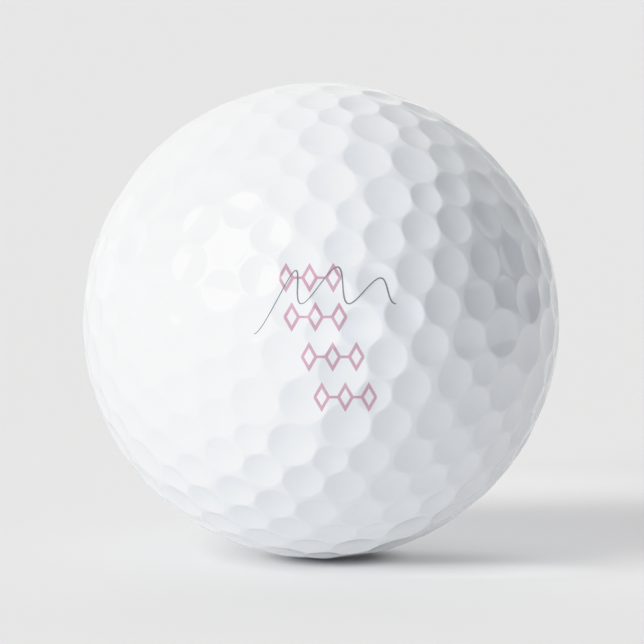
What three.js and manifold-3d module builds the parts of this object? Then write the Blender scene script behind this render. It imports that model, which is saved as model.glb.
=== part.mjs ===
// A golf ball of four-piece construction, cut along its parting line so that every layer can be lifted off:
// a solid inner core, then an outer core, a mantle and a dimpled cover, each moulded as two half shells,
// and the ink films printed on the cover.
// Millimetres, +Z up, the origin at the centre of the ball. The printed side faces -Y.
import * as THREE from "three";
import { ConvexHull } from "three/addons/math/ConvexHull.js";
import { mergeGeometries, mergeVertices } from "three/addons/utils/BufferGeometryUtils.js";
import Module from "manifold-3d";

// Diameters, from the middle outwards.
const INNER_CORE_DIAMETER = 25.4;
const OUTER_CORE_DIAMETER = 39.4;
const MANTLE_DIAMETER = 41.15;
const BALL_DIAMETER = 42.67;
const BALL_RADIUS = BALL_DIAMETER / 2;
const BOND_GAP = 0.05; // left free between one layer and the next
const SEAM_GAP = 0.02; // left free between two half shells

// Dimples: the angle from a dimple's centre to its rim, seen from the centre of the ball, in degrees.
const LARGE = 5.8;
const MEDIUM = 4.9;
const SMALL = 4.05;
const EDGE_ANGLE = 13.5; // between the land and the bowl at the rim

// The dimples fill twelve pentagons, one around each corner of an icosahedron, and twenty triangles, one around
// each face. Between them run six great circles that no dimple crosses, and one of these is the parting line.
// Each row is a ring of dimples: its tilt from the middle of the field, its turns from the direction of a
// neighbouring corner, and the size of its dimples.
const PENTAGON_RINGS = [
  { tilt: 11.78, turns: [36], size: LARGE },
  { tilt: 16.74, turns: [0], size: SMALL },
  { tilt: 22.13, turns: [36 - 13.19, 36 + 13.19], size: MEDIUM },
  { tilt: 25.9, turns: [0], size: MEDIUM },
];
const TRIANGLE_RINGS = [
  { tilt: 5.87, turns: [0], size: MEDIUM },
  { tilt: 11.46, turns: [60], size: MEDIUM },
];
const CORNER_TILT = 63.4349; // between neighbouring corners of an icosahedron
const FIRST_CORNER_TURN = 18; // puts a two-fold axis of the pattern on the ball's own X axis

// How the ball lies: the pole of the parting line leans over, towards a heading, with a spin of its own.
const POLE_HEADING = 136.24;
const POLE_LEAN = 24.23;
const POLE_SPIN = 14.58 - FIRST_CORNER_TURN;

// Print, on a plane that faces the front and tilts up a little: four staggered rows of lozenges on a bar, and a
// thin waving line across the upper two.
const PRINT_TILT = 7;
const ROW_CENTRES = [[-1, 3.75], [-0.5, 0.35], [1, -3.1], [2.1, -6.6]];
const LOZENGES = 3;
const LOZENGE_PITCH = 2.05;
const LOZENGE_WIDTH = 1.5;
const LOZENGE_HEIGHT = 2.6;
const BAR_HEIGHT = 0.22;
const FLOURISH = { start: [-5.8, -1.1], end: [6.5, 1.5], waves: 3, rise: 4.6, fade: 0.62, lean: 0.35 };
const FLOURISH_WIDTH = 0.2;
const FILM_GAP = 0.03;
const FILM_THICKNESS = 0.04;

// Facets.
const RIM_SIDES = 8;
const SEAM_SIDES = 120;
const LAYER_SIDES = 24;
const FLOURISH_STEPS = 44;
const RIM_START = new THREE.Vector3(0.1, 0.2, 1).normalize(); // every rim's first point lies on this side

const radians = THREE.MathUtils.degToRad;
const wasm = await Module();
wasm.setup();

// ---- solids ----

function positionsOnly(geometry) {
  const bare = new THREE.BufferGeometry();
  bare.setAttribute("position", geometry.getAttribute("position"));
  bare.setIndex(geometry.index);
  return bare;
}

function solid(geometry) {
  const merged = mergeVertices(positionsOnly(geometry), 1e-4);
  const vertProperties = merged.getAttribute("position").array;
  const triVerts = new Uint32Array(merged.index.array);
  return new wasm.Manifold(new wasm.Mesh({ numProp: 3, vertProperties, triVerts }));
}

function geometryOf(body) {
  const { vertProperties, triVerts } = body.getMesh();
  const indexed = new THREE.BufferGeometry();
  indexed.setAttribute("position", new THREE.BufferAttribute(vertProperties, 3));
  indexed.setIndex(new THREE.BufferAttribute(triVerts, 1));
  const geometry = indexed.toNonIndexed();
  geometry.computeVertexNormals();
  return geometry;
}

function turned(profile) {
  const geometry = new THREE.LatheGeometry(profile, LAYER_SIDES);
  geometry.rotateX(Math.PI / 2);
  return solid(geometry);
}

function wholeBall(radius) {
  const arc = new THREE.EllipseCurve(0, 0, radius, radius, -Math.PI / 2, Math.PI / 2);
  return turned(arc.getPoints(LAYER_SIDES / 2));
}

function upperHalfBall(radius) {
  const arc = new THREE.EllipseCurve(0, 0, radius, radius, 0, Math.PI / 2);
  return turned([new THREE.Vector2(0, 0), ...arc.getPoints(LAYER_SIDES / 4)]);
}

// ---- dimple pattern ----

function direction(tilt, turn) {
  const [t, a] = [radians(tilt), radians(turn)];
  return new THREE.Vector3(Math.sin(t) * Math.cos(a), Math.sin(t) * Math.sin(a), Math.cos(t));
}

// The direction at a tilt from the axis, turned about it from the side where "towards" lies.
function around(axis, towards, tilt, turn) {
  const side = towards.clone().addScaledVector(axis, -towards.dot(axis)).normalize();
  side.applyAxisAngle(axis, radians(turn));
  return axis.clone().multiplyScalar(Math.cos(radians(tilt))).addScaledVector(side, Math.sin(radians(tilt)));
}

function icosahedronCorners() {
  const corners = [direction(0, 0), direction(180, 0)];
  for (let i = 0; i < 5; i++) {
    corners.push(direction(CORNER_TILT, FIRST_CORNER_TURN + 72 * i));
    corners.push(direction(180 - CORNER_TILT, FIRST_CORNER_TURN + 36 + 72 * i));
  }
  return corners;
}

function ringsOfDimples(middle, corner, fold, rings) {
  const dimples = [];
  for (const { tilt, turns, size } of rings)
    for (const turn of turns)
      for (let i = 0; i < fold; i++)
        dimples.push({ centre: around(middle, corner, tilt, turn + (360 / fold) * i), size });
  return dimples;
}

function allDimples() {
  const corners = icosahedronCorners();
  const areNeighbours = (a, b) => Math.abs(a.angleTo(b) - radians(CORNER_TILT)) < 0.01;
  const dimples = [];
  corners.forEach((a, i) => {
    const neighbour = corners.find((b) => areNeighbours(a, b));
    dimples.push({ centre: a, size: LARGE }, ...ringsOfDimples(a, neighbour, 5, PENTAGON_RINGS));
    const later = corners.slice(i + 1).filter((b) => areNeighbours(a, b));
    later.forEach((b, j) => {
      for (const c of later.slice(j + 1).filter((corner) => areNeighbours(b, corner))) {
        const middle = a.clone().add(b).add(c).normalize();
        dimples.push(...ringsOfDimples(middle, a, 3, TRIANGLE_RINGS));
      }
    });
  });
  return dimples;
}

// ---- dimpled surface ----

function rimOf({ centre, size }) {
  const rim = [];
  for (let i = 0; i < RIM_SIDES; i++) rim.push(around(centre, RIM_START, size, (360 / RIM_SIDES) * i));
  return rim.map((point) => point.multiplyScalar(BALL_RADIUS));
}

// A bowl is a shallow spherical cap that meets the land at the edge angle.
function bowlBottom({ centre, size }) {
  const rimRadius = BALL_RADIUS * Math.sin(radians(size));
  const depth = rimRadius * Math.tan(radians(EDGE_ANGLE - size) / 2);
  return centre.clone().multiplyScalar(BALL_RADIUS * Math.cos(radians(size)) - depth);
}

// The upper half's outer surface. A skin stretched over the rims and the seam gives the land between them, a lid
// over each dimple, which its bowl replaces, and the disc at the parting plane, which stays only if it is closed.
function dimpledDome(closed) {
  const seam = [];
  for (let i = 0; i < SEAM_SIDES; i++) {
    seam.push(direction(90, (360 / SEAM_SIDES) * i).setZ(0).multiplyScalar(BALL_RADIUS));
  }
  const dimples = allDimples().filter(({ centre }) => centre.z > 0);
  const outlines = [seam, ...dimples.map(rimOf)];
  const outlineOf = new Map(outlines.flatMap((outline) => outline.map((point) => [point, outline])));

  const corners = [];
  for (const { edge } of new ConvexHull().setFromPoints(outlines.flat()).faces) {
    const [a, b, c] = [edge.vertex.point, edge.next.vertex.point, edge.next.next.vertex.point];
    const touched = new Set([a, b, c].map((point) => outlineOf.get(point)));
    if (touched.size > 1 || (closed && touched.has(seam))) corners.push(a, b, c);
  }
  dimples.forEach((dimple, k) => {
    const rim = outlines[k + 1];
    rim.forEach((point, i) => corners.push(point, rim[(i + 1) % RIM_SIDES], bowlBottom(dimple)));
  });
  return new THREE.BufferGeometry().setFromPoints(corners);
}

// ---- print ----

function lozengeRow([x, z]) {
  const top = [];
  const shoulder = (LOZENGE_WIDTH / 2) * (1 - BAR_HEIGHT / LOZENGE_HEIGHT);
  for (let i = 0; i < LOZENGES; i++) {
    const middle = (i - (LOZENGES - 1) / 2) * LOZENGE_PITCH;
    top.push([middle - shoulder, BAR_HEIGHT / 2], [middle, LOZENGE_HEIGHT / 2], [middle + shoulder, BAR_HEIGHT / 2]);
  }
  const bottom = top.map(([u, v]) => [u, -v]).reverse();
  return new THREE.Shape([...bottom, ...top].map(([u, v]) => new THREE.Vector2(x + u, z + v)));
}

function flourish() {
  const { start, end, waves, rise, fade, lean } = FLOURISH;
  const middle = (t) => {
    const wave = rise * (1 - fade * t) * Math.sin(Math.PI * waves * t) ** 2;
    const base = THREE.MathUtils.lerp(start[1], end[1], THREE.MathUtils.smoothstep(t, 0, 1 / waves));
    return new THREE.Vector2(THREE.MathUtils.lerp(start[0], end[0], t) + lean * wave, base + wave);
  };
  const left = [];
  const right = [];
  for (let i = 0; i <= FLOURISH_STEPS; i++) {
    const t = i / FLOURISH_STEPS;
    const along = middle(t + 1e-3).sub(middle(t - 1e-3)).normalize();
    const half = (FLOURISH_WIDTH / 2) * (0.65 - 0.35 * along.y);
    left.push(middle(t).add(new THREE.Vector2(-along.y, along.x).multiplyScalar(half)));
    right.push(middle(t).add(new THREE.Vector2(along.y, -along.x).multiplyScalar(half)));
  }
  return new THREE.Shape([...right, ...left.reverse()]);
}

// A prism of the mark's outline, from the middle of the ball out through its printed side.
function markPrism(shape) {
  const prism = new THREE.ExtrudeGeometry(shape, { depth: BALL_DIAMETER, bevelEnabled: false });
  prism.rotateX(Math.PI / 2 - radians(PRINT_TILT));
  return solid(prism);
}

// ---- assembly ----

const rubberGreen = new THREE.MeshStandardMaterial({ color: 0x5f8f7a, roughness: 0.85, metalness: 0 });
const rubberOrange = new THREE.MeshStandardMaterial({ color: 0xc9713b, roughness: 0.8, metalness: 0 });
const ionomer = new THREE.MeshStandardMaterial({ color: 0xcfd3cc, roughness: 0.4, metalness: 0 });
const glossWhite = new THREE.MeshStandardMaterial({ color: 0xf2f2f0, roughness: 0.18, metalness: 0 });
const pinkInk = new THREE.MeshStandardMaterial({ color: 0xdcacc3, roughness: 0.25, metalness: 0 });
const greyInk = new THREE.MeshStandardMaterial({ color: 0x82878c, roughness: 0.25, metalness: 0 });

function named(name, geometry, material) {
  const mesh = new THREE.Mesh(geometry, material);
  mesh.name = name;
  return mesh;
}

const golfBall = new THREE.Group();

const leaning = new THREE.Group();
leaning.rotation.set(0, radians(POLE_LEAN), radians(POLE_HEADING), "ZYX");
golfBall.add(leaning);
const ball = new THREE.Group();
ball.rotation.z = radians(POLE_SPIN);
leaning.add(ball);

ball.add(named("inner_core", geometryOf(wholeBall(INNER_CORE_DIAMETER / 2)), rubberOrange));

// A half shell and its twin, which is the same moulding turned over about the ball's X axis.
function addHalves(name, body, material) {
  const geometry = geometryOf(body);
  const upper = named(name + "_upper", geometry, material);
  upper.position.z = SEAM_GAP / 2;
  const lower = named(name + "_lower", geometry, material);
  lower.rotation.x = Math.PI;
  lower.position.z = -SEAM_GAP / 2;
  ball.add(upper, lower);
}

const outerCore = upperHalfBall(OUTER_CORE_DIAMETER / 2).subtract(wholeBall(INNER_CORE_DIAMETER / 2 + BOND_GAP));
addHalves("outer_core", outerCore, rubberGreen);

const mantle = upperHalfBall(MANTLE_DIAMETER / 2).subtract(wholeBall(OUTER_CORE_DIAMETER / 2 + BOND_GAP));
addHalves("mantle", mantle, ionomer);

const cover = solid(dimpledDome(true)).subtract(wholeBall(MANTLE_DIAMETER / 2 + BOND_GAP));
addHalves("cover", cover, glossWhite);

// The film that the print is cut from follows the land and the bowls, just clear of the cover.
golfBall.updateMatrixWorld(true);
const dome = dimpledDome(false);
const surface = mergeGeometries([dome, dome.clone().rotateX(Math.PI)]).applyMatrix4(ball.matrixWorld);
const grown = (by) => solid(surface.clone().scale(...Array(3).fill(1 + by / BALL_RADIUS)));
const filmAbove = (gap) => grown(gap + FILM_THICKNESS).subtract(grown(gap));
const firstPass = filmAbove(FILM_GAP);
const secondPass = filmAbove(2 * FILM_GAP + FILM_THICKNESS);

ROW_CENTRES.forEach((centre, i) => {
  const row = firstPass.intersect(markPrism(lozengeRow(centre)));
  golfBall.add(named("print_row_" + (i + 1), geometryOf(row), pinkInk));
});
golfBall.add(named("print_flourish", geometryOf(secondPass.intersect(markPrism(flourish()))), greyInk));

export default golfBall;
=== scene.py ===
"""A golf ball: a fine dimpled cover, its print, and the layers inside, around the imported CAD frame.

Lengths are millimetres until a mesh is made, and then metres. The ball is first built in its own frame, with
the parting line in the XY plane, and then turned to lie as the CAD part does.
"""

import math

import bpy
import numpy as np
from mathutils import Matrix, Vector
from mathutils.geometry import delaunay_2d_cdt


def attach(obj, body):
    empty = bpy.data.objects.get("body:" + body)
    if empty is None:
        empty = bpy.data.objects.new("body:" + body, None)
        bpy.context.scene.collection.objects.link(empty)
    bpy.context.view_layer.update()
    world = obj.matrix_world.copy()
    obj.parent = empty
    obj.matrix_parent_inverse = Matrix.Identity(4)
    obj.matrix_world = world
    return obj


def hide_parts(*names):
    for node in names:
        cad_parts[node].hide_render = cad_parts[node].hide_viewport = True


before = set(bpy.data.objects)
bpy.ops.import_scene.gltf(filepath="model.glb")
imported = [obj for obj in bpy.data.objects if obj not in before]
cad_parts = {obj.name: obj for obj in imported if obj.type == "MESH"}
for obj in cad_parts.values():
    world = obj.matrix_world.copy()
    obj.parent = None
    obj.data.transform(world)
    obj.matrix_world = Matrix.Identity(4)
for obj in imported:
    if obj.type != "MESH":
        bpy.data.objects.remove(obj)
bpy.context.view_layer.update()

MM = 0.001

# The radii of the layers.
INNER_CORE = 12.7
OUTER_CORE = 19.7
MANTLE = 20.575
BALL = 21.335
BOND_GAP = 0.05  # left free between one layer and the next

# Dimples: the angle from a dimple's centre to its rim, seen from the centre of the ball, in degrees.
LARGE, MEDIUM, SMALL = 5.8, 4.9, 4.05
EDGE_ANGLE = 14.2  # between the land and the bowl at the rim
ROUNDING = 0.4  # the rim is rounded over this many degrees on either side
RIM_RINGS = (0, 0.35, 0.7, 1.1)  # a dimple's rings of points inside its rim, as shares of the rounding
BOWL_RINGS = (0.68, 0.45, 0.22)  # and the ones further in, as shares of its size
MARGIN_SHARE = 0.42  # how much of the land to its nearest neighbour a dimple's outermost ring may take

# Rings of dimples, as (tilt from the middle of the field, turns from a neighbouring corner, size). A program
# fitted these angles to the dimples in the photo, and then eased them so that no two dimples overlap.
PENTAGON_RINGS = [
    (11.78, [36], LARGE),
    (16.74, [0], SMALL),
    (22.13, [36 - 13.19, 36 + 13.19], MEDIUM),
    (25.9, [0], MEDIUM),
]
TRIANGLE_RINGS = [(5.87, [0], MEDIUM), (11.46, [60], MEDIUM)]
CORNER_TILT = 63.4349  # between neighbouring corners of an icosahedron
FIRST_CORNER_TURN = 18

# How the ball lies: the pole of the parting line leans over, towards a heading, with a spin of its own. These
# angles come from the same fit.
POLE_HEADING, POLE_LEAN, POLE_SPIN = 136.24, 24.23, 14.58 - FIRST_CORNER_TURN

# Print.
PRINT_TILT = 7
ROW_CENTRES = [(-1, 3.75), (-0.5, 0.35), (1, -3.1), (2.1, -6.6)]
LOZENGES, LOZENGE_PITCH, LOZENGE_WIDTH, LOZENGE_HEIGHT, BAR_HEIGHT = 3, 2.05, 1.5, 2.6, 0.22
LOZENGE_OPENING = 0.58  # the hollow of a lozenge, as a share of its size
FLOURISH_START, FLOURISH_END = (-5.8, -1.1), (6.5, 1.5)
WAVES, RISE, FADE, LEAN, FLOURISH_WIDTH = 3, 4.6, 0.62, 0.35, 0.135
STROKE_MEAN, STROKE_CHANGE = 0.8, 0.2  # the flourish is thicker going down, as a pen's stroke is
# How far the films stand out of the cover before their own thickness, and how far they reach into it.
PINK_LIFT, GREY_LIFT, FILM_ROOT = 0.014, 0.026, 0.02
FILM_THICKNESS, FILM_EDGE = 0.008, 0.06  # a film comes to its full thickness this far from its edge

# Mesh fineness.
RIM_POINTS = 40
SEAM_POINTS = 360
INNER_RINGS = 12
PLAIN_COLUMNS, PLAIN_ROWS = 96, 24  # of the layers without dimples
LAND_SPACING = 0.5  # degrees
CLEAR_OF_LOOPS, CLEAR_OF_SEAM = 0.45, 0.6  # how near free points may come to fixed ones, in spacings
INK_SPACING = 0.11
FLOURISH_POINTS = 400
LANDING_STEPS = 8  # taken to find where a point of the print meets the cover
TRIANGLE_HEIGHT = 0.866  # of a triangle with sides of 1
SPHERE_AREA = 41253  # square degrees
POINTS_AT_ONCE = 8192
SAME_PLACE = 1e-4  # points or edges nearer than this count as touching
LAND_MERGE, INK_MERGE = 1e-9, 1e-7  # how near two points may be before a triangulation takes them as one
TINY = 1e-12  # keeps a division from being by zero

turn_ball = np.array(
    Matrix.Rotation(math.radians(POLE_HEADING), 3, "Z")
    @ Matrix.Rotation(math.radians(POLE_LEAN), 3, "Y")
    @ Matrix.Rotation(math.radians(POLE_SPIN), 3, "Z")
)
turn_over = np.diag([1.0, -1.0, -1.0])


# ---- dimple pattern ----


def unit(v):
    return v / np.linalg.norm(v, axis=-1, keepdims=True)


def direction(tilt, turn):
    t, a = math.radians(tilt), math.radians(turn)
    return np.array([math.sin(t) * math.cos(a), math.sin(t) * math.sin(a), math.cos(t)])


def around(axis, towards, tilt, turns):
    """Directions at a tilt from the axis, turned about it from the side where `towards` lies."""
    side = unit(towards - axis * (towards @ axis))
    other = np.cross(axis, side)
    a = np.radians(np.atleast_1d(turns))[:, None]
    t = math.radians(tilt)
    return math.cos(t) * axis + math.sin(t) * (np.cos(a) * side + np.sin(a) * other)


def icosahedron_corners():
    corners = [direction(0, 0), direction(180, 0)]
    for i in range(5):
        corners.append(direction(CORNER_TILT, FIRST_CORNER_TURN + 72 * i))
        corners.append(direction(180 - CORNER_TILT, FIRST_CORNER_TURN + 36 + 72 * i))
    return corners


def rings_of_dimples(middle, corner, fold, rings):
    """The dimples of the rings round the middle of a field that looks the same from `fold` sides."""
    centres, sizes = [], []
    for tilt, turns, size in rings:
        for turn in turns:
            steps = turn + 360 / fold * np.arange(fold)
            centres.append(around(middle, corner, tilt, steps))
            sizes += [size] * fold
    return centres, sizes


def all_dimples():
    """The dimples' centres, as unit directions, and their angular radii."""
    corners = icosahedron_corners()

    def are_neighbours(a, b):
        return round(math.degrees(math.acos(np.clip(a @ b, -1, 1))) - CORNER_TILT) == 0

    centres, sizes = [], []
    for i, a in enumerate(corners):
        neighbour = next(b for b in corners if are_neighbours(a, b))
        made, made_sizes = rings_of_dimples(a, neighbour, 5, PENTAGON_RINGS)
        centres += [a[None], *made]
        sizes += [LARGE, *made_sizes]
        later = [b for b in corners[i + 1 :] if are_neighbours(a, b)]
        for j, b in enumerate(later):
            for c in later[j + 1 :]:
                if are_neighbours(b, c):
                    made, made_sizes = rings_of_dimples(unit(a + b + c), a, 3, TRIANGLE_RINGS)
                    centres += made
                    sizes += made_sizes
    return np.vstack(centres), np.radians(sizes)


centres, sizes = all_dimples()
edge = math.radians(EDGE_ANGLE)


def relief(points):
    """How far the surface lies below the ball's sphere at unit directions, and its outward normal there.

    Each bowl's depth is a parabola of the angle from its centre. Its rim is blended into the land by a second
    one, and where two rims are close their roundings add up.
    """
    depth = np.zeros(len(points))
    slope = np.zeros((len(points), 3))
    blend = edge * math.radians(ROUNDING)
    reach = np.sqrt(sizes**2 + 2 * sizes * blend / edge)
    for start in range(0, len(points), POINTS_AT_ONCE):
        p = points[start : start + POINTS_AT_ONCE]
        cosine = np.clip(p @ centres.T, -1, 1)
        i, j = np.nonzero(cosine > np.cos(reach))
        c = cosine[i, j]
        angle = np.arccos(c)
        h = edge * (sizes[j] ** 2 - angle**2) / (2 * sizes[j])
        rounded = (h + blend) ** 2 / (4 * blend)
        d = np.where(h > blend, h, rounded) * BALL
        rate = np.where(h > blend, 1, (h + blend) / (2 * blend)) * edge / sizes[j] * BALL
        away = angle / np.maximum(np.sin(angle), TINY)
        gradient = (rate * away)[:, None] * (centres[j] - c[:, None] * p[i])
        np.add.at(depth, start + i, d)
        np.add.at(slope, start + i, gradient)
    return depth, unit(points + slope / (BALL - depth)[:, None])


# ---- meshes ----


def piece(name, points, faces, normals, material, node):
    """A mesh object in place of a CAD node, from points in millimetres and one normal per face corner."""
    mesh = bpy.data.meshes.new(name)
    mesh.from_pydata((points * MM).tolist(), [], faces.tolist())
    mesh.polygons.foreach_set("use_smooth", np.ones(len(faces), bool))
    mesh.materials.append(material)
    mesh.update()
    mesh.normals_split_custom_set(normals.tolist())
    obj = bpy.data.objects.new(name, mesh)
    bpy.context.scene.collection.objects.link(obj)
    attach(obj, "root")
    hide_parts(node)


def grid_faces(rows, columns):
    """Triangles of a sheet of rows that close on themselves, with its points numbered row by row."""
    r, c = np.meshgrid(np.arange(rows - 1), np.arange(columns), indexing="ij")
    a = (r * columns + c).ravel()
    b = (r * columns + (c + 1) % columns).ravel()
    return np.vstack([np.stack([a, b, b + columns], 1), np.stack([a, b + columns, a + columns], 1)])


def fan_faces(ring_start, columns, apex):
    """Triangles from a closed ring of points to one more point."""
    a = ring_start + np.arange(columns)
    b = ring_start + (np.arange(columns) + 1) % columns
    return np.stack([a, b, np.full(columns, apex)], 1)


def dome_grid(rows, columns):
    """Unit directions of a hemisphere, from its edge up, and its faces. The last point is the pole."""
    tilts = np.linspace(90, 0, rows + 1)[:-1]
    turns = np.radians(360 / columns * np.arange(columns))
    ring = np.stack([np.cos(turns), np.sin(turns), np.zeros(columns)], 1)
    points = [math.sin(math.radians(t)) * ring + [0, 0, math.cos(math.radians(t))] for t in tilts]
    points = np.vstack([*points, [[0.0, 0.0, 1.0]]])
    faces = np.vstack([grid_faces(rows, columns), fan_faces((rows - 1) * columns, columns, rows * columns)])
    return points, faces


def stack_parts(parts):
    """Puts (points, faces, corner normals) parts one after the other, without merging any points."""
    points, faces, normals, first = [], [], [], 0
    for p, f, n in parts:
        points.append(p)
        faces.append(f + first)
        normals.append(n)
        first += len(p)
    return np.vstack(points), np.vstack(faces), np.vstack(normals)


def weld(points, faces):
    """Merges points that are the same to a tenth of a micron, and keeps the order of the faces."""
    keys = np.round(points / SAME_PLACE).astype(np.int64)
    _, first, inverse = np.unique(keys, axis=0, return_index=True, return_inverse=True)
    return points[first], inverse.ravel()[faces]


def turned_outward(points, faces):
    """The faces, with those that wind towards the ball's centre turned round."""
    a, b, c = (points[faces[:, i]] for i in range(3))
    inward = np.einsum("ij,ij->i", np.cross(b - a, c - a), a) < 0
    faces[inward] = faces[inward][:, ::-1]
    return faces


def loop_edges(loops):
    """The edges of closed loops whose points are numbered one loop after the other."""
    edges, first = [], 0
    for loop in loops:
        n = len(loop)
        edges += [(first + i, first + (i + 1) % n) for i in range(n)]
        first += n
    return edges


def half_shell(outer, inner):
    """A plain hemispherical shell: outer dome, flat ring at the parting plane and inner dome."""
    dome, faces = dome_grid(PLAIN_ROWS, PLAIN_COLUMNS)
    flat = np.vstack([dome[:PLAIN_COLUMNS] * outer, dome[:PLAIN_COLUMNS] * inner])
    flat_faces = grid_faces(2, PLAIN_COLUMNS)[:, ::-1]
    down = np.tile([0.0, 0.0, -1.0], (len(flat_faces) * 3, 1))
    inner_faces = faces[:, ::-1]
    return stack_parts(
        [
            (dome * outer, faces, dome[faces.ravel()]),
            (flat, flat_faces, down),
            (dome * inner, inner_faces, -dome[inner_faces.ravel()]),
        ]
    )


def bowl(centre, size, margin):
    """A dimple's directions, ring by ring from the outermost, and its faces."""
    rounding = math.radians(ROUNDING)
    rings = [size + margin]
    rings += [size - share * rounding for share in RIM_RINGS]
    rings += [share * size for share in BOWL_RINGS]
    start = unit(np.array([0.1, 0.2, 1.0]))  # the first point of each ring lies towards this direction
    turns = 360 / RIM_POINTS * np.arange(RIM_POINTS)
    sheet = [around(centre, start, math.degrees(ring), turns) for ring in rings]
    apex = len(rings) * RIM_POINTS
    faces = np.vstack([grid_faces(len(rings), RIM_POINTS), fan_faces(apex - RIM_POINTS, RIM_POINTS, apex)])
    return np.vstack([*sheet, centre[None]]), faces


def land_faces(land, loops):
    """Triangles over the land between the loops, whose points come first among the land's points.

    The land is triangulated on a plane, by a projection that keeps circles as circles.
    """
    flat = land[:, :2] / (1 + land[:, 2:])
    owner = np.full(len(land), -1)
    owner[: sum(map(len, loops))] = np.repeat(np.arange(len(loops)), [len(loop) for loop in loops])
    found = delaunay_2d_cdt([Vector(p) for p in flat], loop_edges(loops), [], 0, LAND_MERGE)
    original = np.array([source[0] for source in found[3]])
    faces = original[np.array(found[2])]
    a, b, c = owner[faces].T
    within_loop = (a == b) & (b == c) & (a >= 0)
    return faces[~within_loop]


def on_cover(directions, faces):
    """A part of the cover's outside, with its corner normals, from unit directions."""
    faces = turned_outward(directions, faces)
    depth, normals = relief(directions)
    return directions * (BALL - depth)[:, None], faces, normals[faces.ravel()]


def dimpled_half():
    """The cover's upper half shell: the bowls, the land between them, the parting face and the inside."""
    chosen = np.nonzero(centres[:, 2] > 0)[0]
    apart = np.arccos(np.clip(centres @ centres.T, -1, 1)) - sizes[:, None] - sizes[None]
    np.fill_diagonal(apart, np.inf)
    room = np.minimum(apart.min(1), np.arcsin(np.abs(centres[:, 2])) - sizes)

    parts, rims = [], []
    for k in chosen:
        margin = min(MARGIN_SHARE * room[k], math.radians(ROUNDING))
        directions, faces = bowl(centres[k], sizes[k], margin)
        rims.append(directions[:RIM_POINTS])
        parts.append(on_cover(directions, faces))

    # The land's free points lie on a spiral, clear of the seam and the rims.
    seam_turns = np.radians(360 / SEAM_POINTS * np.arange(SEAM_POINTS))
    seam = np.stack([np.cos(seam_turns), np.sin(seam_turns), np.zeros(SEAM_POINTS)], 1)
    count = int(SPHERE_AREA / 2 / (LAND_SPACING**2 * TRIANGLE_HEIGHT))
    z = 1 - (np.arange(count) + 0.5) / count
    turns = np.arange(count) * math.pi * (3 - math.sqrt(5))
    flat = np.sqrt(1 - z * z)
    spiral = np.stack([flat * np.cos(turns), flat * np.sin(turns), z], 1)
    spacing = math.radians(LAND_SPACING)
    from_centres = np.arccos(np.clip(spiral @ centres[chosen].T, -1, 1))
    clear = from_centres - sizes[chosen] - MARGIN_SHARE * room[chosen]
    free = (clear.min(1) > CLEAR_OF_LOOPS * spacing) & (np.arcsin(z) > CLEAR_OF_SEAM * spacing)
    loops = [seam, *rims]
    land = np.vstack([*loops, spiral[free]])
    parts.append(on_cover(land, land_faces(land, loops)))

    inner = MANTLE + BOND_GAP
    seam_depth, _ = relief(seam)
    ring = np.vstack([seam * (BALL - seam_depth)[:, None], seam * inner])
    ring_faces = grid_faces(2, SEAM_POINTS)[:, ::-1]
    parts.append((ring, ring_faces, np.tile([0.0, 0.0, -1.0], (len(ring_faces) * 3, 1))))
    dome, faces = dome_grid(INNER_RINGS, SEAM_POINTS)
    faces = faces[:, ::-1]
    parts.append((dome * inner, faces, -dome[faces.ravel()]))
    return stack_parts(parts)


def add_halves(name, half, material):
    """The upper half shell as given, and the lower one as the same shape turned over."""
    points, faces, normals = half
    points, faces = weld(points, faces)
    for side, turn in (("upper", turn_ball), ("lower", turn_ball @ turn_over)):
        node = f"{name}_{side}"
        piece(node + "_shell", points @ turn.T, faces, normals @ turn.T, material, node)


def add_inner_core():
    dome, faces = dome_grid(PLAIN_ROWS, PLAIN_COLUMNS)
    halves = [(half * INNER_CORE, faces, half[faces.ravel()]) for half in (dome, dome @ turn_over)]
    points, faces, normals = stack_parts(halves)
    points, faces = weld(points, faces)
    points, normals = points @ turn_ball.T, normals @ turn_ball.T
    piece("inner_core_ball", points, faces, normals, rubber_orange, "inner_core")


# ---- print ----


def lozenge_row(x, z):
    """The outline of a row of lozenges joined by bars, around its middle."""
    shoulder = LOZENGE_WIDTH / 2 * (1 - BAR_HEIGHT / LOZENGE_HEIGHT)
    top = []
    for i in range(LOZENGES):
        middle = (i - (LOZENGES - 1) / 2) * LOZENGE_PITCH
        top += [
            (middle - shoulder, BAR_HEIGHT / 2),
            (middle, LOZENGE_HEIGHT / 2),
            (middle + shoulder, BAR_HEIGHT / 2),
        ]
    outline = [(u, -v) for u, v in top] + top[::-1]
    return np.array(outline) + [x, z]


def lozenge_hollows(x, z):
    """The outlines of the openings in a row of lozenges."""
    corners = np.array([(1, 0), (0, 1), (-1, 0), (0, -1)]) * [LOZENGE_WIDTH / 2, LOZENGE_HEIGHT / 2]
    middles = (np.arange(LOZENGES) - (LOZENGES - 1) / 2) * LOZENGE_PITCH
    return [corners * LOZENGE_OPENING + [x + middle, z] for middle in middles]


def flourish():
    """The outline of the waving line."""

    def middle(t):
        wave = RISE * (1 - FADE * t) * np.sin(np.pi * WAVES * t) ** 2
        s = np.clip(t * WAVES, 0, 1)
        base = FLOURISH_START[1] + (FLOURISH_END[1] - FLOURISH_START[1]) * s * s * (3 - 2 * s)
        x = FLOURISH_START[0] + (FLOURISH_END[0] - FLOURISH_START[0]) * t
        return np.stack([x + LEAN * wave, base + wave], 1)

    t = np.linspace(0, 1, FLOURISH_POINTS)
    step = 1e-3
    along = unit(middle(t + step) - middle(t - step))
    half = FLOURISH_WIDTH / 2 * (STROKE_MEAN - STROKE_CHANGE * along[:, 1:])
    across = np.stack([-along[:, 1], along[:, 0]], 1)
    return np.vstack([middle(t) - across * half, (middle(t) + across * half)[::-1]])


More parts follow.
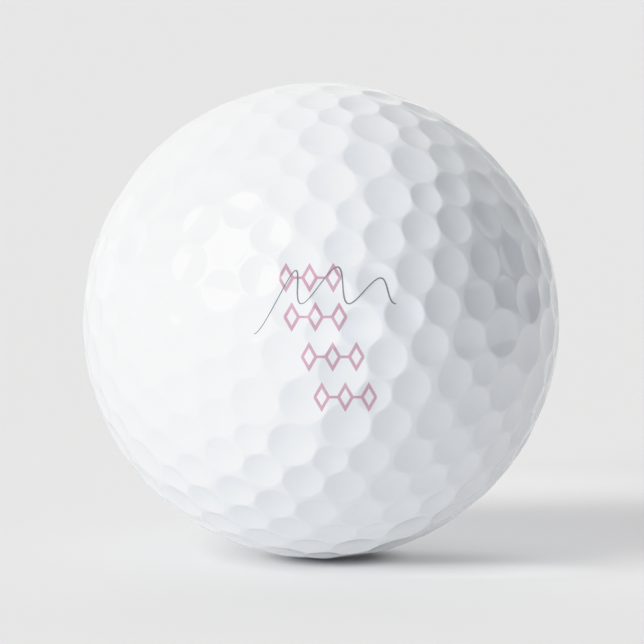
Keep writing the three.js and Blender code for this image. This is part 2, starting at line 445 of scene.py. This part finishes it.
def closer(outline, step):
    """The outline with points added so that none are more than a step apart."""
    points = []
    for a, b in zip(outline, np.roll(outline, -1, axis=0)):
        count = max(1, math.ceil(np.linalg.norm(b - a) / step))
        points += [a + (b - a) * i / count for i in range(count)]
    return np.array(points)


def inside(points, outline):
    """Which points lie inside the outline, and how far each is from it."""
    a, b = outline, np.roll(outline, -1, axis=0)
    x, y = points[:, :1], points[:, 1:]
    crosses = (a[:, 1] > y) != (b[:, 1] > y)
    height = np.where(b[:, 1] == a[:, 1], TINY, b[:, 1] - a[:, 1])
    left = x < (b[:, 0] - a[:, 0]) * (y - a[:, 1]) / height + a[:, 0]
    within = (crosses & left).sum(1) % 2 == 1
    run = b - a
    along = ((points[:, None] - a) * run).sum(2) / np.maximum((run * run).sum(1), TINY)
    nearest = a + np.clip(along, 0, 1)[..., None] * run
    return within, np.linalg.norm(points[:, None] - nearest, axis=2).min(1)


def in_print(points, loops):
    """Which points lie inside the first loop and outside the others, and how far each is from any loop."""
    within, margin = inside(points, loops[0])
    for hollow in loops[1:]:
        hollowed, from_hollow = inside(points, hollow)
        within &= ~hollowed
        margin = np.minimum(margin, from_hollow)
    return within, margin


def flat_print(loops):
    """Points over the print and its triangles, on the plane it's drawn on."""
    low, high = loops[0].min(0), loops[0].max(0)
    columns = np.arange(low[0], high[0], INK_SPACING)
    rows = np.arange(low[1], high[1], INK_SPACING * TRIANGLE_HEIGHT)
    u, v = np.meshgrid(columns, rows)
    u[1::2] += INK_SPACING / 2
    grid = np.stack([u.ravel(), v.ravel()], 1)
    within, margin = in_print(grid, loops)
    grid = grid[within & (margin > CLEAR_OF_LOOPS * INK_SPACING)]
    flat = np.vstack([*loops, grid])
    found = delaunay_2d_cdt([Vector(p) for p in flat], loop_edges(loops), [], 0, INK_MERGE)
    flat = np.array([tuple(p) for p in found[0]])
    faces = np.array(found[2])
    # Triangles outside the print go, and so do slivers along its edges.
    within, margin = in_print(flat[faces].mean(1), loops)
    return flat, faces[within & (margin > SAME_PLACE)]


def onto_cover(flat):
    """Where points of the print land when carried along the printing direction, and the normals there."""
    tilt = math.radians(PRINT_TILT)
    right = np.array([1.0, 0.0, 0.0])
    up = np.array([0.0, math.sin(tilt), math.cos(tilt)])
    outward = np.array([0.0, -math.cos(tilt), math.sin(tilt)])
    radius = np.full(len(flat), BALL)
    for _ in range(LANDING_STEPS):
        reach = np.sqrt(radius**2 - (flat**2).sum(1))
        places = flat[:, :1] * right + flat[:, 1:] * up + reach[:, None] * outward
        depth, normals = relief(unit(places @ turn_ball))
        radius = BALL - depth
    return places, normals @ turn_ball.T


def ink_film(node, outline, hollows, lift, material):
    """A thin printed film that follows the cover, thinnest along its edge."""
    loops = [closer(loop, INK_SPACING) for loop in (outline, *hollows)]
    flat, faces = flat_print(loops)
    places, normals = onto_cover(flat)
    _, margin = in_print(flat, loops)
    height = lift + FILM_THICKNESS * np.clip(margin / FILM_EDGE, 0, 1)
    top = places + normals * height[:, None]
    bottom = places - normals * FILM_ROOT
    a, b, c = (top[faces[:, i]] for i in range(3))
    if np.einsum("ij,ij->i", np.cross(b - a, c - a), normals[faces[:, 0]]).sum() < 0:
        faces = faces[:, ::-1]

    # The rim is the edges that only one face has.
    pairs = np.vstack([faces[:, [0, 1]], faces[:, [1, 2]], faces[:, [2, 0]]])
    known = {tuple(pair) for pair in pairs.tolist()}
    rim = np.array([pair for pair in pairs.tolist() if (pair[1], pair[0]) not in known])
    n = len(flat)
    a, b = rim[:, 0], rim[:, 1]
    wall = np.vstack([np.stack([b, a, a + n], 1), np.stack([b, a + n, b + n], 1)])
    under = faces[:, ::-1] + n
    across = unit(np.cross(top[b] - top[a], normals[a]))
    wall_normals = np.vstack([np.repeat(across, 3, axis=0)] * 2)
    piece(
        node + "_film",
        np.vstack([top, bottom]),
        np.vstack([faces, wall, under]),
        np.vstack([normals[faces.ravel()], wall_normals, -normals[(under - n).ravel()]]),
        material,
        node,
    )


# ---- materials ----


class Nodes:
    """A short way to build one node tree."""

    def __init__(self, tree):
        self.tree = tree
        self.tree.nodes.clear()

    def add(self, kind, **values):
        """A new node of a kind, with its properties set."""
        node = self.tree.nodes.new(kind)
        for key, value in values.items():
            setattr(node, key, value)
        return node

    def link(self, source, target):
        self.tree.links.new(source, target)

    def math(self, operation, *values):
        """The result of a sum, from numbers or other nodes' results."""
        node = self.add("ShaderNodeMath", operation=operation)
        for socket, value in zip(node.inputs, values):
            if isinstance(value, (int, float)):
                socket.default_value = value
            else:
                self.link(value, socket)
        return node.outputs[0]

    def vectors(self, operation, a, b, result="Vector"):
        """The result of a sum with the vector of another node and either a second one or a plain vector."""
        node = self.add("ShaderNodeVectorMath", operation=operation)
        self.link(a, node.inputs[0])
        if isinstance(b, tuple):
            node.inputs[1].default_value = b
        else:
            self.link(b, node.inputs[1])
        return node.outputs[result]

    def smooth(self, value, start, end):
        """0 at start and 1 at end, with a smooth step between them."""
        node = self.add("ShaderNodeMapRange", interpolation_type="SMOOTHSTEP")
        self.link(value, node.inputs["Value"])
        node.inputs["From Min"].default_value = min(start, end)
        node.inputs["From Max"].default_value = max(start, end)
        node.inputs["To Min"].default_value = 0 if start < end else 1
        node.inputs["To Max"].default_value = 1 if start < end else 0
        return node.outputs["Result"]

    def noise(self, vector, scale, detail):
        node = self.add("ShaderNodeTexNoise")
        self.link(vector, node.inputs["Vector"])
        node.inputs["Scale"].default_value = scale
        node.inputs["Detail"].default_value = detail
        return node.outputs["Fac"]

    def ramp(self, factor, stops):
        """A colour ramp between two (position, colour) stops."""
        node = self.add("ShaderNodeValToRGB")
        self.link(factor, node.inputs["Fac"])
        for element, (position, colour) in zip(node.color_ramp.elements, stops):
            element.position = position
            element.color = (*colour, 1)
        return node.outputs["Color"]


COAT_ROUGHNESS = 0.03
UNEVENNESS = 0.1  # of a surface's roughness, as a share of it
MOTTLE_STOPS = (0.3, 0.7)  # where the noise has come fully to the one colour and to the other


def surface(name, colours, roughness, coat=0.0, grain=900, bump=0.0, bump_scale=1500):
    """A dielectric with a mottled colour, a slightly uneven roughness, and a fine bump if asked for."""
    material = bpy.data.materials.new(name)
    material.use_nodes = True
    nodes = Nodes(material.node_tree)
    where = nodes.add("ShaderNodeTexCoord").outputs["Object"]
    shader = nodes.add("ShaderNodeBsdfPrincipled")
    out = nodes.add("ShaderNodeOutputMaterial")
    nodes.link(shader.outputs["BSDF"], out.inputs["Surface"])
    mottle = nodes.noise(where, grain, detail=3)
    nodes.link(nodes.ramp(mottle, zip(MOTTLE_STOPS, colours)), shader.inputs["Base Color"])
    patchy = nodes.noise(where, grain / 3, detail=2)
    uneven = nodes.math("MULTIPLY_ADD", patchy, 2 * UNEVENNESS * roughness, roughness * (1 - UNEVENNESS))
    nodes.link(uneven, shader.inputs["Roughness"])
    shader.inputs["Coat Weight"].default_value = coat
    shader.inputs["Coat Roughness"].default_value = COAT_ROUGHNESS
    if bump:
        ripple = nodes.add("ShaderNodeBump")
        ripple.inputs["Strength"].default_value = 1.0
        ripple.inputs["Distance"].default_value = bump
        nodes.link(nodes.noise(where, bump_scale, detail=2), ripple.inputs["Height"])
        nodes.link(ripple.outputs["Normal"], shader.inputs["Normal"])
        if coat:
            nodes.link(ripple.outputs["Normal"], shader.inputs["Coat Normal"])
    return material


COVER_WHITES = [(0.84, 0.86, 0.885), (0.86, 0.88, 0.905)]
white_cover = surface("white_cover", COVER_WHITES, 0.4, coat=1.0, bump=4e-7, bump_scale=700)
ionomer = surface("ionomer", [(0.62, 0.66, 0.62), (0.68, 0.71, 0.68)], 0.42, bump=2e-6)
rubber_green = surface("rubber_green", [(0.09, 0.25, 0.17), (0.13, 0.31, 0.21)], 0.72, bump=6e-6)
rubber_orange = surface("rubber_orange", [(0.52, 0.15, 0.04), (0.62, 0.21, 0.06)], 0.68, bump=6e-6)
pink_ink = surface("pink_ink", [(0.61, 0.36, 0.46), (0.64, 0.39, 0.49)], 0.4, coat=1.0, grain=3000)
grey_ink = surface("grey_ink", [(0.2, 0.205, 0.22), (0.24, 0.245, 0.26)], 0.4, coat=1.0, grain=3000)

# ---- the ball ----

add_halves("cover", dimpled_half(), white_cover)
add_halves("mantle", half_shell(MANTLE, OUTER_CORE + BOND_GAP), ionomer)
add_halves("outer_core", half_shell(OUTER_CORE, INNER_CORE + BOND_GAP), rubber_green)
add_inner_core()

for number, centre in enumerate(ROW_CENTRES, 1):
    row, hollows = lozenge_row(*centre), lozenge_hollows(*centre)
    ink_film(f"print_row_{number}", row, hollows, PINK_LIFT, pink_ink)
ink_film("print_flourish", flourish(), [], GREY_LIFT, grey_ink)

# ---- stage ----

BACKGROUND = 0.791  # linear, shown as a pale grey
FLOOR_RADIUS, FLOOR_SIDES = 3.0, 128  # the radius in metres
FLOOR_ALBEDO = 0.545
FLOOR_PAINTED_GLOW = 0.319  # painted light: the floor glows a little by itself, though no lamp is there, and this lightens its shadows
# Painted shadow and light on the floor: near the ball the glow changes by a factor round five places, as
# (X, Y, stretch along X, inner reach, outer reach, factor). A factor below 1 paints shade, above 1 paints
# light.
PAINTED_SHADING_SPOTS = [
    (1.4, 0.0, 1.0, 2.5, 7.5, 0.08),  # painted contact shadow where the ball stands
    (9.0, -2.0, 2.0, 0.5, 6.5, 0.66),  # painted shadow: darkens the cast shadow close to the ball
    (12.0, -8.5, 2.5, 2.5, 6.5, 1.3),  # painted light: lightens the cast shadow's front edge
    (25.0, 39.5, 1.5, 2.0, 20.0, 1.27),  # painted light: lightens the cast shadow's back edge
    (-28.0, 5.0, 1.0, 0.0, 64.0, 0.86),  # painted shade: darkens the floor where the ball throws the key light back on it
]

# Studio panels, in degrees, as (azimuth, half width, lowest elevation, highest elevation, softness of edge,
# colour). Azimuth 0 is on the viewer's side and 90 on the right, and the top one goes all the way round. The
# colours come from a least-squares fit of each panel's light to the shading in the photo.
PANELS = {
    "left_low": (270, 55, -10, 15, 6, (1.23, 1.34, 1.63)),
    "front_low": (0, 35, -10, 15, 6, (1.38, 1.55, 1.84)),
    "front_top": (0, 45, 45, 70, 6, (0.41, 0.32, 0.29)),
    "key": (307, 19, 17, 51, 1, (8.06, 8.03, 7.73)),
    "right_top": (90, 45, 45, 70, 6, (0.63, 0.74, 0.79)),
    "back_right": (147, 24, -10, 45, 6, (0.68, 0.7, 0.7)),
    "back_left": (200, 29, -10, 45, 6, (1.0, 1.01, 0.99)),
    "back_top": (180, 45, 45, 70, 6, (0.94, 0.88, 0.92)),
    "top": (0, 400, 70, 100, 6, (0.66, 0.62, 0.63)),
}


def painted_spot_factor(nodes, where, painted_spot):
    """A spot's factor of painted shade or light within its inner reach, 1 beyond its outer one, smoothly
    between.
    """
    x, y, stretch, inner, outer, factor = painted_spot
    shrunk = nodes.vectors("MULTIPLY", where, (1 / stretch, 1, 1))
    distance = nodes.vectors("DISTANCE", shrunk, (x / stretch * MM, y * MM, 0), "Value")
    beyond = nodes.smooth(distance, inner * MM, outer * MM)
    return nodes.math("MULTIPLY_ADD", beyond, 1 - factor, factor)


# The floor: a plain diffuse surface plus a painted glow, and painted spots near the ball change the glow.
def floor_material():
    material = bpy.data.materials.new("floor")
    material.use_nodes = True
    nodes = Nodes(material.node_tree)
    shader = nodes.add("ShaderNodeBsdfDiffuse")
    shader.inputs["Color"].default_value = (FLOOR_ALBEDO, FLOOR_ALBEDO, FLOOR_ALBEDO, 1)
    where = nodes.add("ShaderNodeTexCoord").outputs["Object"]
    strength = FLOOR_PAINTED_GLOW
    # painted shadow and light: each spot scales the floor's glow near the ball
    for painted_spot in PAINTED_SHADING_SPOTS:
        strength = nodes.math("MULTIPLY", painted_spot_factor(nodes, where, painted_spot), strength)
    # painted light: an emission makes the floor glow though no lamp is there
    painted_glow = nodes.add("ShaderNodeEmission")
    nodes.link(strength, painted_glow.inputs["Strength"])
    both = nodes.add("ShaderNodeAddShader")
    nodes.link(shader.outputs[0], both.inputs[0])
    nodes.link(painted_glow.outputs[0], both.inputs[1])
    out = nodes.add("ShaderNodeOutputMaterial")
    nodes.link(both.outputs[0], out.inputs["Surface"])
    return material


def add_floor(height):
    bpy.ops.mesh.primitive_circle_add(
        vertices=FLOOR_SIDES, radius=FLOOR_RADIUS, fill_type="NGON", location=(0, 0, height)
    )
    floor = bpy.context.object
    floor.name = "floor"
    floor.data.materials.append(floor_material())


cover_halves = [bpy.data.objects[f"cover_{side}_shell"] for side in ("upper", "lower")]
add_floor(min(v.co.z for half in cover_halves for v in half.data.vertices))


def panel_light(nodes, x, y, elevation, panel):
    """A panel's colour within its edges, and black outside them."""
    azimuth, half, low, high, soft, colour = panel
    a = math.radians(azimuth)
    ahead = nodes.math("MULTIPLY_ADD", x, math.sin(a), nodes.math("MULTIPLY", y, -math.cos(a)))
    aside = nodes.math("MULTIPLY_ADD", x, math.cos(a), nodes.math("MULTIPLY", y, math.sin(a)))
    turn = nodes.math("MULTIPLY", nodes.math("ARCTAN2", aside, ahead), 180 / math.pi)
    across = nodes.smooth(nodes.math("ABSOLUTE", turn), half + soft / 2, half - soft / 2)
    above = nodes.smooth(elevation, low - soft / 2, low + soft / 2)
    below = nodes.smooth(elevation, high + soft / 2, high - soft / 2)
    scaled = nodes.add("ShaderNodeVectorMath", operation="SCALE")
    scaled.inputs[0].default_value = colour
    nodes.link(nodes.math("MULTIPLY", across, nodes.math("MULTIPLY", above, below)), scaled.inputs["Scale"])
    return scaled.outputs[0]


def add_world():
    """The panels light the scene, and the camera sees an even background in their place."""
    world = bpy.data.worlds.new("studio")
    bpy.context.scene.world = world
    world.use_nodes = True
    nodes = Nodes(world.node_tree)
    parts = nodes.add("ShaderNodeSeparateXYZ")
    nodes.link(nodes.add("ShaderNodeTexCoord").outputs["Generated"], parts.inputs[0])
    x, y, z = parts.outputs
    elevation = nodes.math("MULTIPLY", nodes.math("ARCSINE", z), 180 / math.pi)
    lights = [panel_light(nodes, x, y, elevation, panel) for panel in PANELS.values()]
    total = lights[0]
    for light in lights[1:]:
        total = nodes.vectors("ADD", total, light)
    lit = nodes.add("ShaderNodeBackground")
    nodes.link(total, lit.inputs["Color"])
    shown = nodes.add("ShaderNodeBackground")
    shown.inputs["Color"].default_value = (BACKGROUND, BACKGROUND, BACKGROUND, 1)
    rays = nodes.add("ShaderNodeLightPath")
    mix = nodes.add("ShaderNodeMixShader")
    nodes.link(rays.outputs["Is Camera Ray"], mix.inputs["Fac"])
    nodes.link(lit.outputs[0], mix.inputs[1])
    nodes.link(shown.outputs[0], mix.inputs[2])
    out = nodes.add("ShaderNodeOutputWorld")
    nodes.link(mix.outputs[0], out.inputs["Surface"])


add_world()

# ---- camera ----

CAMERA_ELEVATION = 7
CAMERA_DISTANCE = 30.05  # in radii of the ball
SENSOR_WIDTH, LENS = 36, 400
SHIFT_X, SHIFT_Y = 0.0014, -0.0015

camera_data = bpy.data.cameras.new("camera")
camera_data.sensor_width = SENSOR_WIDTH
camera_data.lens = LENS
camera_data.shift_x = SHIFT_X
camera_data.shift_y = SHIFT_Y
camera_data.clip_start = 0.01
camera_data.clip_end = 20
camera = bpy.data.objects.new("camera", camera_data)
bpy.context.scene.collection.objects.link(camera)
angle = math.radians(CAMERA_ELEVATION)
away = Vector((0, -math.cos(angle), math.sin(angle)))
camera.location = away * (CAMERA_DISTANCE * BALL * MM)
camera.rotation_mode = "QUATERNION"
camera.rotation_quaternion = (-away).to_track_quat("-Z", "Y")
bpy.context.scene.camera = camera

# The picture's tones: straight up to the pale grey of the floor, with a soft shoulder above it.
TONES = [
    (0.0, 0.0),
    (0.4, 0.4),
    (0.8, 0.8),
    (0.86, 0.853),
    (0.95, 0.895),
    (1.05, 0.919),
    (1.15, 0.932),
    (1.3, 0.948),
    (1.5, 0.966),
    (2.0, 0.985),
    (4.0, 1.0),
]
view = bpy.context.scene.view_settings
view.view_transform = "Standard"
view.use_curve_mapping = True
curves = view.curve_mapping
curves.use_clip = False
brightest = TONES[-1][0]
curves.clip_max_x = brightest
curves.extend = "HORIZONTAL"
# The curves of the separate colours stay straight, but have to reach as far as the tones do.
for curve in curves.curves[:3]:
    curve.points[1].location = (brightest, brightest)
tone_points = curves.curves[3].points
while len(tone_points) < len(TONES):
    tone_points.new(0.5, 0.5)
for point, place in zip(tone_points, TONES):
    point.location = place
    point.handle_type = "VECTOR"
curves.update()
